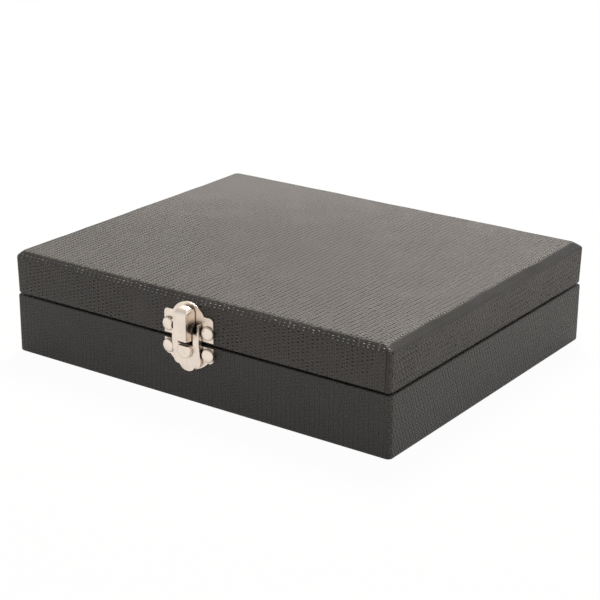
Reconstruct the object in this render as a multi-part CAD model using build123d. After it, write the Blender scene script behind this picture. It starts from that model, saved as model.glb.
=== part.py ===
from build123d import *
import math
import os

# A cufflink box: a low case of thin boards covered in leatherette, a hinged lid,
# a nickel push latch in front, and twenty cushioned compartments inside.
# The origin is the middle of the face it stands on. X runs to the right along the
# front, Y to the back, Z up. All sizes are millimetres.

# Outside of the box, over its covering
box_width = 203.0
box_depth = 166.0
base_height = 28.3
lid_height = 20.3
seam_gap = 0.3
corner_radius = 2.0
rim_round = 0.6

# The lid leans out a little towards its top and has a sanded bevel round the top
lid_flare = 0.5
bevel_run = 3.0
bevel_drop = 2.4

# Sheet and board thicknesses
cover = 0.8
board = 6.0
floor_board = 3.0
top_board = 4.0
lining = 0.8
bottom_sheet = 1.0
cover_lift = 0.2
bottom_turn_in = 12.0
lining_reveal = 1.0

# Compartments, their dividers and pads
columns = 5
rows = 4
divider_thickness = 2.0
divider_height = 18.0
divider_end_play = 0.1
divider_slot_play = 0.1
pad_gap = 0.3
pad_height = 5.2
pad_crown = 1.6
pad_corner = 2.5
lid_pad_height = 4.0
lid_pad_crown = 1.2
lid_pad_gap = 0.6
lid_pad_corner = 4.0

# Stamped latch plates: distances from the middle of the box and from the seam
plate = 0.8
plate_half_width = 13.2
nail_inset = 2.6
upper_plate_foot = 1.65
upper_plate_shoulder = 10.35
upper_plate_step = 12.7
upper_plate_corner = 1.9
arch_rise = 8.35
arch_radius = 9.4
lower_plate_top = 0.75
lower_plate_side_end = 5.85
lower_plate_notch = 7.85
lower_plate_notch_inset = 3.0
lower_plate_scallop_end = 12.5
lower_plate_ear_bulge = 0.75
scallop_middle_width = 0.58
scallop_middle_rise = 0.3
upper_nail_rise = 5.9
lower_nail_drop = 4.1

# The raised band that bridges the seam leans out above its foot
band_half_width = 7.2
band_proud = 3.2
band_foot_proud = 2.2
band_lean_drop = 8.0
band_top = 9.2
band_tip = 13.1
band_neck_half_width = 4.3
band_neck_rise = 2.5
band_shoulder_rise = 1.9
band_shoulder_bulge = 0.55
band_end_half_width = 3.0
band_end_rise = 0.9
band_end_sag = 0.65
plate_clearance = 0.3
window_drop = 0.55
window_step = 6.0

# The pressed bump below the lever, with its distances from the front and the seam
bump_radius = 3.6
bump_centre_drop = 3.1
bump_top_drop = 1.0
bump_proud = 4.8
bump_edge_round = 0.8
bump_mouth_drop = 1.2

# The lever on its pin
lever_pivot_rise = 7.3
lever_pivot_proud = 3.6
lever_half_width = 3.8
lever_draft = 4.0
lever_proud = 7.0
lever_foot = 1.5
lever_shoulder = 13.5
lever_top = 16.45
lever_corner = 2.9
lever_sheet = 0.7
lever_wall_back = 1.1
lever_wall_back_low = 2.7
lever_wall_step_rise = 1.1
lever_wall_step_drop = 1.9
lever_head_bulge = (0.7, 0.6)
lever_side_play = 0.25
latch_pin_radius = 1.15
running_fit = 0.05
knuckle_wall = 0.7
knuckle_length = 1.6
latch_pin_recess = 1.0

# The striker on the upper plate and the strip spring under the lever
striker_proud = 1.1
striker_half_width = 2.2
striker_low = 12.8
striker_high = 15.2
lip_clearance = 0.2
spring_strip = 0.3
spring_width = 4.6
spring_play = 0.2
spring_leg_gap = 0.2
spring_lever_gap = 0.15
spring_back_bend = 2.9
spring_front_bend = 3.4
spring_foot_rise = 0.8
tongue_half_width = 2.6
tongue_drop = 3.3

# Round-headed nails
latch_nail_head_radius = 3.05
latch_nail_head_height = 1.8
latch_nail_rim = 0.9
latch_nail_radius = 0.7
hinge_nail_head_radius = 1.7
hinge_nail_head_height = 0.9
hinge_nail_rim = 0.2
hinge_nail_radius = 0.6
nail_bite = 4.5
nail_hole_play = 0.03

# Stop hinges on the back
hinge_count = 2
hinge_end_distance = 38.0
hinge_width = 24.0
hinge_leaf_reach = 11.0
hinge_sheet = 0.8
hinge_pin_radius = 0.8
hinge_knuckle_play = 0.2
hinge_barrel_play = 0.3
hinge_nail_spacing = 15.0
wing_reach = 6.0
lid_opening = 95.0
wing_gap_angle = 2.0

# Heights and faces that follow from the sizes
seam = base_height + seam_gap / 2
lid_bottom = base_height + seam_gap
lid_top = lid_bottom + lid_height
lid_shoulder = lid_top - bevel_drop
floor_top = bottom_sheet + floor_board
lid_ceiling = lid_top - cover - top_board
front_face = -box_depth / 2
back_face = box_depth / 2
room_half_width = box_width / 2 - cover - board
room_half_depth = box_depth / 2 - cover - board
cell_half_width = room_half_width - lining
cell_half_depth = room_half_depth - lining
pitch_x = 2 * cell_half_width / columns
pitch_y = 2 * cell_half_depth / rows
nail_x = plate_half_width - nail_inset
knuckle_radius = latch_pin_radius + running_fit + knuckle_wall
hinge_barrel_radius = hinge_pin_radius + running_fit + hinge_sheet
hinge_axis_y = back_face + hinge_barrel_radius

# Planes to draw on: the front face, the back face and a middle upright one
front_plane = Plane.XZ.offset(-front_face)
side_plane = Plane.YZ


def block(low, high):
    """A plain block between its lowest and highest corners."""
    size = [b - a for a, b in zip(low, high)]
    middle = [(a + b) / 2 for a, b in zip(low, high)]
    return Pos(*middle) * Box(*size)


def upright_ring(half_width, half_depth, thickness, low, high):
    """A thin wall standing inside a rectangular room."""
    outer = block((-half_width, -half_depth, low), (half_width, half_depth, high))
    inner_x = half_width - thickness
    inner_y = half_depth - thickness
    return outer - block((-inner_x, -inner_y, low), (inner_x, inner_y, high))


def stamped(sketch, start, stop):
    """Metal between two distances in front of the box's front face."""
    return extrude(front_plane.offset(start) * sketch, stop - start)


def symmetric_face(right_half):
    """A face from its right-hand outline, drawn from top middle to bottom middle."""
    half = Curve() + right_half
    return make_face(half + mirror(half, Plane.YZ))


def side_point(proud, height):
    """A point of a side view, from its distance in front of the box and its height."""
    return (front_face - proud, height)


# Boards and covering of the base

def base_form(inset):
    """The outside of the base, drawn in evenly on its sides."""
    outline = RectangleRounded(
        box_width - 2 * inset,
        box_depth - 2 * inset,
        corner_radius - inset / 2,
    )
    low = max(cover_lift, bottom_sheet * (inset > 0))
    return extrude(Pos(0, 0, low) * outline, base_height - inset - low)


def base_boards():
    """Front and back boards run the full width, the side boards fit between them."""
    form = base_form(cover)
    x, y = room_half_width, room_half_depth
    far = box_width
    high = base_height
    regions = {
        "base_front_board": ((-far, -far, 0), (far, -y, high)),
        "base_back_board": ((-far, y, 0), (far, far, high)),
        "base_left_board": ((-far, -y, 0), (-x, y, high)),
        "base_right_board": ((x, -y, 0), (far, y, high)),
    }
    return {name: form & block(*corners) for name, corners in regions.items()}


def make_base_floor():
    x, y = room_half_width, room_half_depth
    return block((-x, -y, bottom_sheet), (x, y, floor_top))


def make_base_cover():
    """Leatherette over the outside and the rim, turned under the bottom edge."""
    outer = base_form(0)
    rim = outer.edges().group_by(Axis.Z)[-1]
    outer = fillet(rim, rim_round)
    x, y = room_half_width, room_half_depth
    room = block((-x, -y, bottom_sheet), (x, y, base_height))
    recess_x = box_width / 2 - bottom_turn_in
    recess_y = box_depth / 2 - bottom_turn_in
    recess = block((-recess_x, -recess_y, 0), (recess_x, recess_y, bottom_sheet))
    return outer - base_form(cover) - room - recess


def make_bottom_sheet():
    x = box_width / 2 - bottom_turn_in
    y = box_depth / 2 - bottom_turn_in
    return block((-x, -y, 0), (x, y, bottom_sheet))


def make_base_lining():
    high = base_height - lining_reveal
    return upright_ring(room_half_width, room_half_depth, lining, floor_top, high)


# Boards and covering of the lid

def lid_form(inset):
    """The outside of the lid: leaning sides and a bevel, drawn in evenly."""
    slope = math.hypot(bevel_run, bevel_drop)
    shoulder = lid_shoulder - inset * (slope - bevel_drop) / bevel_run
    top_inset = bevel_run + inset * (slope - bevel_run) / bevel_drop
    radius = corner_radius - inset / 2

    def section(height, inset_x, inset_y):
        outline = RectangleRounded(box_width - 2 * inset_x, box_depth - 2 * inset_y, radius)
        return Pos(0, 0, height) * outline

    foot = section(lid_bottom + inset, lid_flare + inset, inset)
    middle = section(shoulder, inset, inset)
    crown = section(lid_top - inset, top_inset, top_inset)
    return loft([foot, middle], ruled=True) + loft([middle, crown], ruled=True)


def lid_boards():
    """Four side boards under a top board that carries the bevel."""
    form = lid_form(cover)
    x, y = room_half_width, room_half_depth
    far = box_width
    low, high = lid_bottom, lid_ceiling
    regions = {
        "lid_front_board": ((-far, -far, low), (far, -y, high)),
        "lid_back_board": ((-far, y, low), (far, far, high)),
        "lid_left_board": ((-far, -y, low), (-x, y, high)),
        "lid_right_board": ((x, -y, low), (far, y, high)),
        "lid_top_board": ((-far, -far, high), (far, far, lid_top)),
    }
    return {name: form & block(*corners) for name, corners in regions.items()}


def make_lid_cover():
    """Leatherette over the top and sides, turned in over the lid's rim."""
    outer = lid_form(0)
    rim = outer.edges().group_by(Axis.Z)[0]
    outer = fillet(rim, rim_round)
    x, y = room_half_width, room_half_depth
    mouth = block((-x, -y, lid_bottom), (x, y, lid_bottom + cover))
    return outer - lid_form(cover) - mouth


def make_lid_lining():
    low = lid_bottom + lining_reveal
    return upright_ring(room_half_width, room_half_depth, lining, low, lid_ceiling)


# Soft pads

def crowned_pad(width, depth, height, crown, corner):
    """A pad that stands on z = 0, with rounded corners and a domed top."""
    body = extrude(RectangleRounded(width, depth, corner), height)
    half_diagonal = math.hypot(width, depth) / 2
    radius = (half_diagonal**2 + crown**2) / (2 * crown)
    return body & Pos(0, 0, height - radius) * Sphere(radius)


def cell_centres():
    """Middles of the compartments, row by row from the front."""
    xs = [(i - (columns - 1) / 2) * pitch_x for i in range(columns)]
    ys = [(j - (rows - 1) / 2) * pitch_y for j in range(rows)]
    return [(x, y) for y in ys for x in xs]


def make_compartment_pads():
    """One pad in each compartment."""
    width = pitch_x - divider_thickness - 2 * pad_gap
    depth = pitch_y - divider_thickness - 2 * pad_gap
    pad = crowned_pad(width, depth, pad_height, pad_crown, pad_corner)
    floor = floor_top + pad_gap
    return Compound(children=[Pos(x, y, floor) * pad for x, y in cell_centres()])


def make_lid_pad():
    """A wide pad under the lid's ceiling, domed side down."""
    width = 2 * (cell_half_width - lid_pad_gap)
    depth = 2 * (cell_half_depth - lid_pad_gap)
    pad = crowned_pad(width, depth, lid_pad_height, lid_pad_crown, lid_pad_corner)
    return Pos(0, 0, lid_ceiling - pad_gap) * Rot(180, 0, 0) * pad


# Dividers that slot into each other like an egg crate

def divider_lines(count, pitch):
    """Places of the dividers between the compartments, along one direction."""
    return [(i + 1 - count / 2) * pitch for i in range(count - 1)]


def divider(half_length, slots, slot_low, slot_high):
    """A divider along X with a slot at each crossing."""
    half = divider_thickness / 2
    low, high = floor_top, floor_top + divider_height
    strip = block((-half_length, -half, low), (half_length, half, high))
    slot_half = half + divider_slot_play
    for x in slots:
        strip -= block((x - slot_half, -half, slot_low), (x + slot_half, half, slot_high))
    return strip


def dividers():
    """Long dividers are slotted from above, cross dividers from below."""
    middle = floor_top + divider_height / 2
    top = floor_top + divider_height
    xs = divider_lines(columns, pitch_x)
    ys = divider_lines(rows, pitch_y)
    long_half = cell_half_width - divider_end_play
    cross_half = cell_half_depth - divider_end_play
    long_one = divider(long_half, xs, middle - divider_slot_play, top)
    cross_slots = [-y for y in ys]
    cross_one = divider(cross_half, cross_slots, floor_top, middle + divider_slot_play)
    parts = {}
    for i, y in enumerate(ys):
        parts[f"long_divider_{i + 1}"] = Pos(0, y, 0) * long_one
    for i, x in enumerate(xs):
        parts[f"cross_divider_{i + 1}"] = Pos(x, 0, 0) * Rot(0, 0, 90) * cross_one
    return parts


# Nails

def round_nail(head_radius, head_height, rim_height, shank_radius, shank_length):
    """A nail along Z: a domed head with an upright rim above z = 0, the shank below."""
    rise = head_height - rim_height
    sphere_radius = (head_radius**2 + rise**2) / (2 * rise)
    dome = Pos(0, 0, head_height - sphere_radius) * Sphere(sphere_radius)
    keep = Pos(0, 0, head_height / 2) * Cylinder(head_radius, head_height)
    point_length = 2 * shank_radius
    straight = shank_length - point_length
    shank = Pos(0, 0, -straight / 2) * Cylinder(shank_radius, straight)
    tip_radius = shank_radius / 8
    tip = Pos(0, 0, -straight - point_length / 2) * Rot(180, 0, 0) * Cone(
        shank_radius, tip_radius, point_length
    )
    return (dome & keep) + shank + tip


def nail_hole(radius, length):
    """The hole a nail fills, along Z through z = 0."""
    return Cylinder(radius + nail_hole_play, 2 * length)


latch_shank = plate + cover + nail_bite
hinge_shank = hinge_sheet + cover + nail_bite


def front_places(height):
    """Where the two nails of a latch plate go, heads to the front."""
    turn = Rot(90, 0, 0)
    return [Pos(x, front_face - plate, height) * turn for x in (-nail_x, nail_x)]


upper_nail_places = front_places(seam + upper_nail_rise)
lower_nail_places = front_places(seam - lower_nail_drop)


def hinge_middles():
    """X of each hinge's middle, spread evenly between the two end ones."""
    reach = box_width / 2 - hinge_end_distance
    step = 2 * reach / (hinge_count - 1)
    return [-reach + i * step for i in range(hinge_count)]


def back_places(direction):
    """Where the nails of all the hinges go, above (1) or below (-1) the seam."""
    near = hinge_barrel_radius + hinge_barrel_play
    height = seam + direction * (near + hinge_leaf_reach) / 2
    places = []
    for middle in hinge_middles():
        for x in (middle - hinge_nail_spacing / 2, middle + hinge_nail_spacing / 2):
            places.append(Pos(x, back_face + hinge_sheet, height) * Rot(-90, 0, 0))
    return places


lid_hinge_places = back_places(1)
base_hinge_places = back_places(-1)


def nails(places, latch):
    """All the nails at some places, as separate solids."""
    if latch:
        nail = round_nail(
            latch_nail_head_radius,
            latch_nail_head_height,
            latch_nail_rim,
            latch_nail_radius,
            latch_shank,
        )
    else:
        nail = round_nail(
            hinge_nail_head_radius,
            hinge_nail_head_height,
            hinge_nail_rim,
            hinge_nail_radius,
            hinge_shank,
        )
    return Compound(children=[place * nail for place in places])


def drilled(piece, latch_places=(), hinge_places=()):
    """A piece with the nail holes that pass through it."""
    for place in latch_places:
        piece -= place * nail_hole(latch_nail_radius, latch_shank)
    for place in hinge_places:
        piece -= place * nail_hole(hinge_nail_radius, hinge_shank)
    return piece


# The latch

def latch_axis(radius, low_x, high_x):
    """A round bar along the lever's axis."""
    place = Pos((low_x + high_x) / 2, front_face - lever_pivot_proud, seam + lever_pivot_rise)
    return place * Rot(0, 90, 0) * Cylinder(radius, high_x - low_x)


def upper_plate_outline():
    """An arched plate with a rounded shoulder on each side."""
    foot = seam + upper_plate_foot
    shoulder = seam + upper_plate_shoulder
    step = seam + upper_plate_step
    arch_middle = seam + arch_rise
    corner = upper_plate_corner
    arch_foot = math.sqrt(arch_radius**2 - (step - arch_middle) ** 2)
    side = plate_half_width
    turn = corner * (1 - math.sqrt(0.5))
    slant = math.sqrt(0.5) * arch_radius
    return symmetric_face(
        [
            ThreePointArc(
                (0, arch_middle + arch_radius),
                (slant, arch_middle + slant),
                (arch_foot, step),
            ),
            Line((arch_foot, step), (side - corner, step)),
            ThreePointArc(
                (side - corner, step),
                (side - turn, step - turn),
                (side, step - corner),
            ),
            Line((side, step - corner), (side, shoulder)),
            Line((side, shoulder), (side, foot)),
            Line((side, foot), (0, foot)),
        ]
    )


def make_latch_upper_plate():
    """The plate on the lid, with the striker that the lever's lip closes over."""
    sheet = stamped(upper_plate_outline(), 0, plate)
    low = seam + striker_low
    high = seam + striker_high
    proud = plate + striker_proud
    nose = Polyline(
        side_point(plate, low),
        side_point(proud, low),
        side_point(proud, (low + high) / 2),
        side_point(plate, high),
        close=True,
    )
    striker = extrude(side_plane * make_face(nose), striker_half_width, both=True)
    return drilled(sheet + striker, latch_places=upper_nail_places)


def lower_plate_outline():
    """Square ears at the seam, scalloped below towards a point."""
    top = seam - lower_plate_top
    side_end = seam - lower_plate_side_end
    notch = (plate_half_width - lower_plate_notch_inset, seam - lower_plate_notch)
    end = (0, seam - lower_plate_scallop_end)
    ear_turn = lower_plate_notch_inset * (1 - lower_plate_ear_bulge)
    ear_bulge = (
        plate_half_width - ear_turn,
        side_end - (side_end - notch[1]) * lower_plate_ear_bulge,
    )
    middle_x = notch[0] * scallop_middle_width
    middle_z = end[1] + (notch[1] - end[1]) * scallop_middle_rise
    return symmetric_face(
        [
            Line((0, top), (plate_half_width, top)),
            Line((plate_half_width, top), (plate_half_width, side_end)),
            ThreePointArc((plate_half_width, side_end), ear_bulge, notch),
            ThreePointArc(notch, (middle_x, middle_z), end),
        ]
    )


def band_outline(inset):
    """The raised band from the front: straight sides, shoulders and a rounded tip."""
    side = band_half_width - inset
    top = seam + band_top - inset
    tip = seam - band_tip + inset
    end = (band_end_half_width - inset / 2, tip + band_end_rise)
    neck = (band_neck_half_width - inset / 2, tip + band_neck_rise)
    side_end = (side, neck[1] + band_shoulder_rise)
    bulge = (
        (side + neck[0]) / 2 + band_shoulder_bulge,
        (side_end[1] + neck[1]) / 2 - band_shoulder_bulge,
    )
    tip_side = (end[0] * band_end_sag, tip + band_end_rise * (1 - band_end_sag))
    return symmetric_face(
        [
            Line((0, top), (side, top)),
            Line((side, top), side_end),
            ThreePointArc(side_end, bulge, neck),
            Line(neck, end),
            ThreePointArc(end, tip_side, (0, tip)),
        ]
    )


def band_side_outline(inset):
    """The raised band from the side: upright at its foot, then leaning out to the seam."""
    foot = band_foot_proud - inset
    proud = band_proud - inset
    top = seam + band_top
    low = seam - band_tip
    return make_face(
        Polyline(
            side_point(0, top),
            side_point(proud, top),
            side_point(proud, seam),
            side_point(foot, seam - band_lean_drop),
            side_point(foot, low),
            side_point(0, low),
            close=True,
        )
    )


def band_form(inset):
    """Front and side outlines of the band, taken together."""
    front = stamped(band_outline(inset), 0, band_proud)
    side = extrude(side_plane * band_side_outline(inset), band_half_width, both=True)
    return front & side


def bump_outline(inset):
    """A half round with a flat top."""
    middle = seam - bump_centre_drop
    flat = seam - bump_top_drop
    radius = bump_radius - inset
    half = math.sqrt(radius**2 - (flat - middle) ** 2)
    return symmetric_face(
        [
            Line((0, flat), (half, flat)),
            ThreePointArc((half, flat), (radius, middle), (0, middle - radius)),
        ]
    )


def make_bump():
    """A hollow pressed bump, open at its flat top."""
    outer = stamped(bump_outline(0), 0, bump_proud)
    front_edges = outer.edges().group_by(Axis.Y)[0]
    outer = fillet(front_edges.filter_by(GeomType.CIRCLE), bump_edge_round)
    flat = seam - bump_top_drop
    hollow = stamped(bump_outline(plate), band_proud, bump_proud - plate)
    mouth_half = bump_radius - 2 * plate
    mouth = block(
        (-mouth_half, front_face - bump_proud + plate, flat - bump_mouth_drop),
        (mouth_half, front_face - band_proud, flat + plate),
    )
    return outer - band_form(plate) - hollow - mouth


def make_latch_lower_plate():
    """The plate on the base: ears, raised band, knuckles for the pin, and the bump."""
    ears = stamped(lower_plate_outline(), 0, plate)
    band = band_form(0) - band_form(plate)
    far = box_width
    over_seam = block(
        (-far, front_face - plate - plate_clearance, seam - lower_plate_top),
        (far, front_face, seam + far),
    )
    slot_half = lever_half_width + lever_side_play
    inner_half = band_half_width - plate
    window_low = seam - window_drop
    window = block(
        (-slot_half, front_face - band_proud, window_low),
        (slot_half, front_face, seam + band_top),
    )
    wide_window = block(
        (-inner_half, front_face - band_proud, seam + window_step),
        (inner_half, front_face, seam + band_top),
    )
    tongue = block(
        (-tongue_half_width, front_face - band_proud, window_low - plate),
        (
            tongue_half_width,
            front_face - band_proud + plate,
            seam + lever_pivot_rise - tongue_drop,
        ),
    )
    knuckle_end = slot_half + knuckle_length
    knuckles = latch_axis(knuckle_radius, slot_half, knuckle_end)
    knuckles += latch_axis(knuckle_radius, -knuckle_end, -slot_half)
    body = ears + (band - over_seam - window - wide_window) + tongue + make_bump()
    body += knuckles
    body -= latch_axis(latch_pin_radius + running_fit, -knuckle_end, knuckle_end)
    return drilled(body, latch_places=lower_nail_places)


def lever_front_outline(inset):
    """The lever from the front: straight sides and rounded upper corners."""
    half = lever_half_width - inset
    top = seam + lever_top - inset
    foot = seam + lever_foot - inset
    corner = lever_corner - inset / 2
    turn = corner * (1 - math.sqrt(0.5))
    return symmetric_face(
        [
            Line((0, top), (half - corner, top)),
            ThreePointArc((half - corner, top), (half - turn, top - turn), (half, top - corner)),
            Line((half, top - corner), (half, foot)),
            Line((half, foot), (0, foot)),
        ]
    )


def lever_side_outline(inset):
    """The lever from the side: flat face, sloping head, walls set back by height."""
    face = lever_proud - inset
    shoulder = seam + lever_shoulder - inset / 2
    top = seam + lever_top - inset
    lip = plate + striker_proud + lip_clearance
    step_high = seam + lever_pivot_rise + lever_wall_step_rise
    step_low = seam + lever_pivot_rise - lever_wall_step_drop
    foot = seam + lever_foot - inset
    back = lever_wall_back - inset
    back_low = lever_wall_back_low - inset
    bulge = (
        lip + (face - lip) * lever_head_bulge[0],
        shoulder + (top - shoulder) * lever_head_bulge[1],
    )
    head_low = seam + striker_high + inset
    lines = [
        Line(side_point(face, foot), side_point(face, shoulder)),
        ThreePointArc(
            side_point(face, shoulder), side_point(*bulge), side_point(lip - inset, top)
        ),
        Line(side_point(lip - inset, top), side_point(lip - inset, head_low)),
        Line(side_point(lip - inset, head_low), side_point(back, head_low)),
        Line(side_point(back, head_low), side_point(back, step_high)),
        Line(side_point(back, step_high), side_point(back_low, step_low)),
        Line(side_point(back_low, step_low), side_point(back_low, foot)),
        Line(side_point(back_low, foot), side_point(face, foot)),
    ]
    return make_face(Curve() + lines)


def lever_form(inset):
    """Front and side outlines of the lever, taken together."""
    depth = lever_proud - lever_wall_back
    front = front_plane.offset(lever_wall_back - inset) * lever_front_outline(inset)
    front = extrude(front, depth + inset, taper=lever_draft)
    side = extrude(side_plane * lever_side_outline(inset), lever_half_width, both=True)
    return front & side


def make_latch_lever():
    """A pressed lever, hollow behind, turning on the pin."""
    body = lever_form(0) - lever_form(lever_sheet)
    return body - latch_axis(latch_pin_radius + running_fit, -box_width, box_width)


def make_latch_pin():
    reach = lever_half_width + lever_side_play + knuckle_length - latch_pin_recess
    return latch_axis(latch_pin_radius, -reach, reach)


def make_latch_spring():
    """A strip bent over the pin, one leg on the band's tongue, one behind the lever."""
    pin_height = seam + lever_pivot_rise
    middle = lever_pivot_proud
    bend = latch_pin_radius + spring_play + spring_strip / 2
    back_leg = band_proud + spring_strip / 2 + spring_leg_gap - spring_lever_gap
    front_leg = lever_proud - lever_sheet - spring_strip / 2 - spring_lever_gap
    low = seam + lever_foot + spring_foot_rise
    back_bend = pin_height - spring_back_bend
    front_bend = pin_height - spring_front_bend
    path = Curve() + [
        Line(side_point(back_leg, low), side_point(back_leg, back_bend)),
        Line(side_point(back_leg, back_bend), side_point(middle - bend, pin_height)),
        ThreePointArc(
            side_point(middle - bend, pin_height),
            side_point(middle, pin_height + bend),
            side_point(middle + bend, pin_height),
        ),
        Line(side_point(middle + bend, pin_height), side_point(front_leg, front_bend)),
        Line(side_point(front_leg, front_bend), side_point(front_leg, low)),
    ]
    strip = trace(path, spring_strip)
    return extrude(side_plane * strip, spring_width / 2, both=True)


# The stop hinges

def hinge_bar(radius, low_x, high_x):
    """A round bar along the lid's axis."""
    place = Pos((low_x + high_x) / 2, hinge_axis_y, seam)
    return place * Rot(0, 90, 0) * Cylinder(radius, high_x - low_x)


def hinge_segments(middle):
    """The knuckle spans along X: outer two on the base leaf, middle one on the lid's."""
    third = hinge_width / 3
    play = hinge_knuckle_play / 2
    edges = [middle - hinge_width / 2 + i * third for i in range(4)]
    spans = []
    for i in range(3):
        low = edges[i] + (play if i else 0)
        high = edges[i + 1] - (play if i < 2 else 0)
        spans.append((low, high))
    return [spans[0], spans[2]], [spans[1]]


def hinge_leaf(middle, direction):
    """A leaf above (1) or below (-1) the seam, with its knuckles and its stop wing."""
    base_spans, lid_spans = hinge_segments(middle)
    spans = lid_spans if direction > 0 else base_spans
    near = hinge_barrel_radius + hinge_barrel_play
    low_x = middle - hinge_width / 2
    high_x = middle + hinge_width / 2
    inner, outer = back_face, back_face + hinge_sheet
    z_near = seam + direction * near
    z_far = seam + direction * hinge_leaf_reach
    leaf = block((low_x, inner, min(z_near, z_far)), (high_x, outer, max(z_near, z_far)))
    tilt = direction * (lid_opening + wing_gap_angle) / 2
    swing = Pos(0, hinge_axis_y, seam) * Rot(tilt, 0, 0)
    wing_low, wing_high = sorted((0, direction * hinge_sheet))
    leaf += swing * block((low_x, near, wing_low), (high_x, wing_reach, wing_high))
    for low, high in spans:
        leaf += hinge_bar(hinge_barrel_radius, low, high)
        neck_low, neck_high = sorted((seam, z_near))
        leaf += block((low, inner, neck_low), (high, outer, neck_high))
        root = hinge_barrel_radius / 2
        leaf += swing * block((low, root, wing_low), (high, near, wing_high))
    leaf -= hinge_bar(hinge_pin_radius + running_fit, low_x, high_x)
    places = lid_hinge_places if direction > 0 else base_hinge_places
    return drilled(leaf, hinge_places=places)


def hinges():
    """Each hinge is two leaves and a pin."""
    parts = {}
    for i, middle in enumerate(hinge_middles()):
        parts[f"hinge_base_leaf_{i + 1}"] = hinge_leaf(middle, -1)
        parts[f"hinge_lid_leaf_{i + 1}"] = hinge_leaf(middle, 1)
        half = hinge_width / 2
        parts[f"hinge_pin_{i + 1}"] = hinge_bar(hinge_pin_radius, middle - half, middle + half)
    return parts


def build_parts():
    """Every separate piece of the box, by name."""
    parts = {}
    parts.update(base_boards())
    parts["base_floor_board"] = make_base_floor()
    parts["base_cover"] = make_base_cover()
    parts["bottom_sheet"] = make_bottom_sheet()
    parts["base_lining"] = make_base_lining()
    parts["compartment_pads"] = make_compartment_pads()
    parts.update(dividers())
    parts.update(lid_boards())
    parts["lid_cover"] = make_lid_cover()
    parts["lid_lining"] = make_lid_lining()
    parts["lid_pad"] = make_lid_pad()
    parts["latch_upper_plate"] = make_latch_upper_plate()
    parts["latch_lower_plate"] = make_latch_lower_plate()
    parts["latch_lever"] = make_latch_lever()
    parts["latch_pin"] = make_latch_pin()
    parts["latch_spring"] = make_latch_spring()
    parts["latch_upper_nails"] = nails(upper_nail_places, True)
    parts["latch_lower_nails"] = nails(lower_nail_places, True)
    parts.update(hinges())
    parts["hinge_lid_nails"] = nails(lid_hinge_places, False)
    parts["hinge_base_nails"] = nails(base_hinge_places, False)

    for name in ("base_front_board", "base_cover"):
        parts[name] = drilled(parts[name], latch_places=lower_nail_places)
    for name in ("lid_front_board", "lid_cover"):
        parts[name] = drilled(parts[name], latch_places=upper_nail_places)
    for name in ("base_back_board", "base_cover"):
        parts[name] = drilled(parts[name], hinge_places=base_hinge_places)
    for name in ("lid_back_board", "lid_cover"):
        parts[name] = drilled(parts[name], hinge_places=lid_hinge_places)
    return parts


os.makedirs("parts", exist_ok=True)
for node, shape in build_parts().items():
    export_step(shape, f"parts/{node}.step")
    print(node, round(shape.volume, 1))
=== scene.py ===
# %% [markdown]
# # A cufflink box in dark leatherette with a nickel push latch
#
# The real box is a pair of thin board trays, one for the base and one for the lid, wrapped in
# embossed leatherette, joined by two small hinges behind and a stamped push latch in front.
# This lesson dresses a finished construction model: the boards, plates, pins and hinges are
# already in place and keep their mesh, and each step adds a covering, a cushion or a finish.
# Everything is in metres, in the model's own frame: X along the front, Y to the back, Z up.

# %% Load the construction model
import math
import bmesh
import bpy
import numpy as np
from mathutils import Matrix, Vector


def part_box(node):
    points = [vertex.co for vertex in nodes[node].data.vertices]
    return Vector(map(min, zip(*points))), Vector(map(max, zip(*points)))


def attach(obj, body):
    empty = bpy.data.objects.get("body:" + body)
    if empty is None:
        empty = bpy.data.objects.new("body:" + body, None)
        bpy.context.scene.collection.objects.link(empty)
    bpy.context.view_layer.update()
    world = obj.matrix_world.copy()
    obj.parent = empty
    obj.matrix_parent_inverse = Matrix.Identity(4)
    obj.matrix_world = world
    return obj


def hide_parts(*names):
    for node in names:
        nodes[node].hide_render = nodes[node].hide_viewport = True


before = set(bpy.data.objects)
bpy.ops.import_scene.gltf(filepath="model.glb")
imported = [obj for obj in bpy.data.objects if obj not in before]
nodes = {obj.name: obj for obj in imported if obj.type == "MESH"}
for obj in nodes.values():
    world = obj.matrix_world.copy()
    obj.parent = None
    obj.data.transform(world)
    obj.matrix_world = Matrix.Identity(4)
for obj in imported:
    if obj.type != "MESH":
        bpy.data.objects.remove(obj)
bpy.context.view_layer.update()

mm = 0.001
scene = bpy.context.scene

# %% [markdown]
# ## Camera
#
# The box was photographed a little from its right and from above, with a long lens. A camera
# could be placed by eye, but the corners of a box fix its place exactly, so its angles and its
# distance from a point inside the box are given as numbers.

# %% Camera
camera_azimuth = math.radians(35.1771)
camera_elevation = math.radians(20.0821)
camera_roll = math.radians(0.3777)
camera_target = np.array((-0.06, -1.8, 22.9)) * mm
camera_distance = 783.9 * mm
camera_lens = 101.37


def unit(vector):
    """The vector's direction, as a vector one long."""
    return np.array(vector) / np.linalg.norm(vector)


backward = np.array((
    math.sin(camera_azimuth) * math.cos(camera_elevation),
    -math.cos(camera_azimuth) * math.cos(camera_elevation),
    math.sin(camera_elevation),
))
level_right = unit(np.cross(-backward, (0, 0, 1)))
level_up = np.cross(level_right, -backward)
camera_right = math.cos(camera_roll) * level_right + math.sin(camera_roll) * level_up
camera_up = math.cos(camera_roll) * level_up - math.sin(camera_roll) * level_right


def add_object(name, data):
    """A new object in the scene, for a camera, a lamp or a mesh."""
    thing = bpy.data.objects.new(name, data)
    scene.collection.objects.link(thing)
    return thing


def standing(right, up, back, position):
    """The matrix of something that stands at a place, from its three axes."""
    matrix = np.eye(4)
    matrix[:3] = np.column_stack((right, up, back, position))
    return Matrix(matrix.tolist())


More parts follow.
